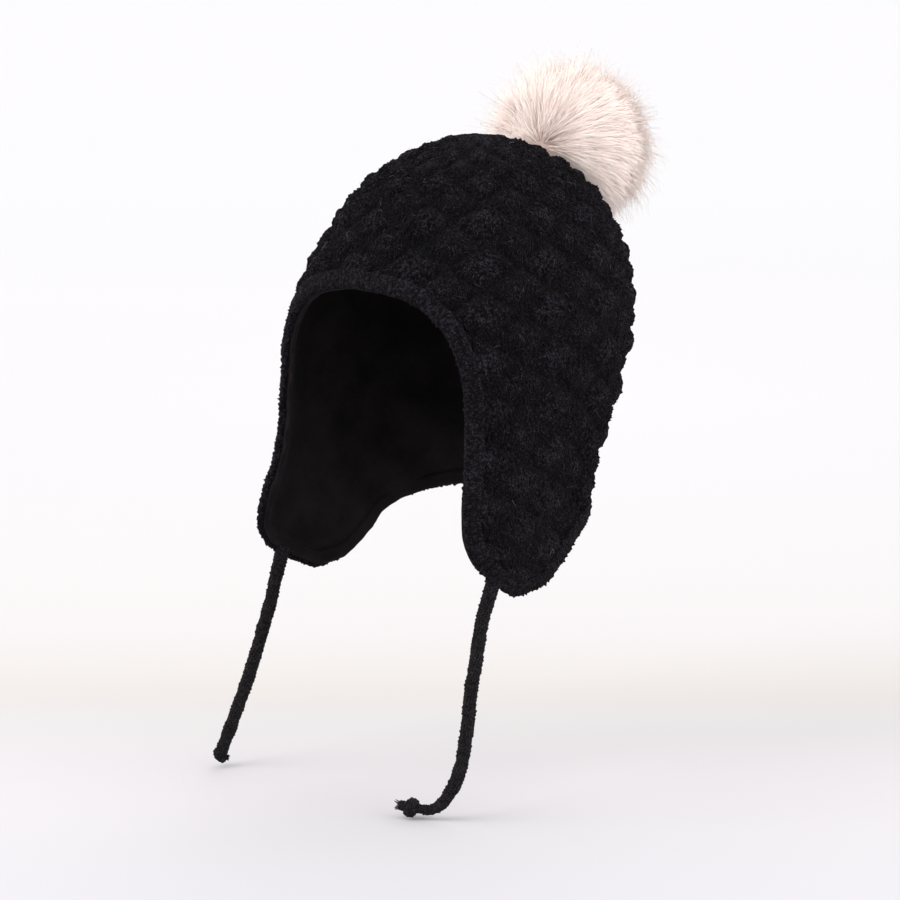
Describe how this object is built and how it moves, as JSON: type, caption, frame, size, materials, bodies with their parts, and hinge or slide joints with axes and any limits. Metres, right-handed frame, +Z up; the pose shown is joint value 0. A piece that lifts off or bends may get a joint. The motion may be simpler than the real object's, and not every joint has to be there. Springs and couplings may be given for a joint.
{
  "type": "knitted earflap hat",
  "caption": "Lined knitted hat with diamond relief, ribbed edge band, two earflaps, knotted tie cords and a fur pompom at the back of the crown.",
  "frame": {"origin": "the highest inner point of the lining, where the top of the head touches it", "axes": "+Z up, face opening towards -Y, +X to the wearer's left"},
  "size_m": [0.2134, 0.2318, 0.3996],
  "materials": {
    "black_knit": "fuzzy wool-blend knit in puffed diamonds",
    "black_rib": "close ribbed knit",
    "black_fleece": "smooth brushed fleece",
    "blush_fur": "dense long fur"
  },
  "bodies": {
    "root": {"knit_shell": "black_knit", "rim_band": "black_rib", "fleece_lining": "black_fleece", "fur_pompom": "blush_fur", "tie_cord_left": "black_rib", "tie_cord_right": "black_rib", "tie_knot_left": "black_rib", "tie_knot_right": "black_rib"}
  },
  "joints": []
}
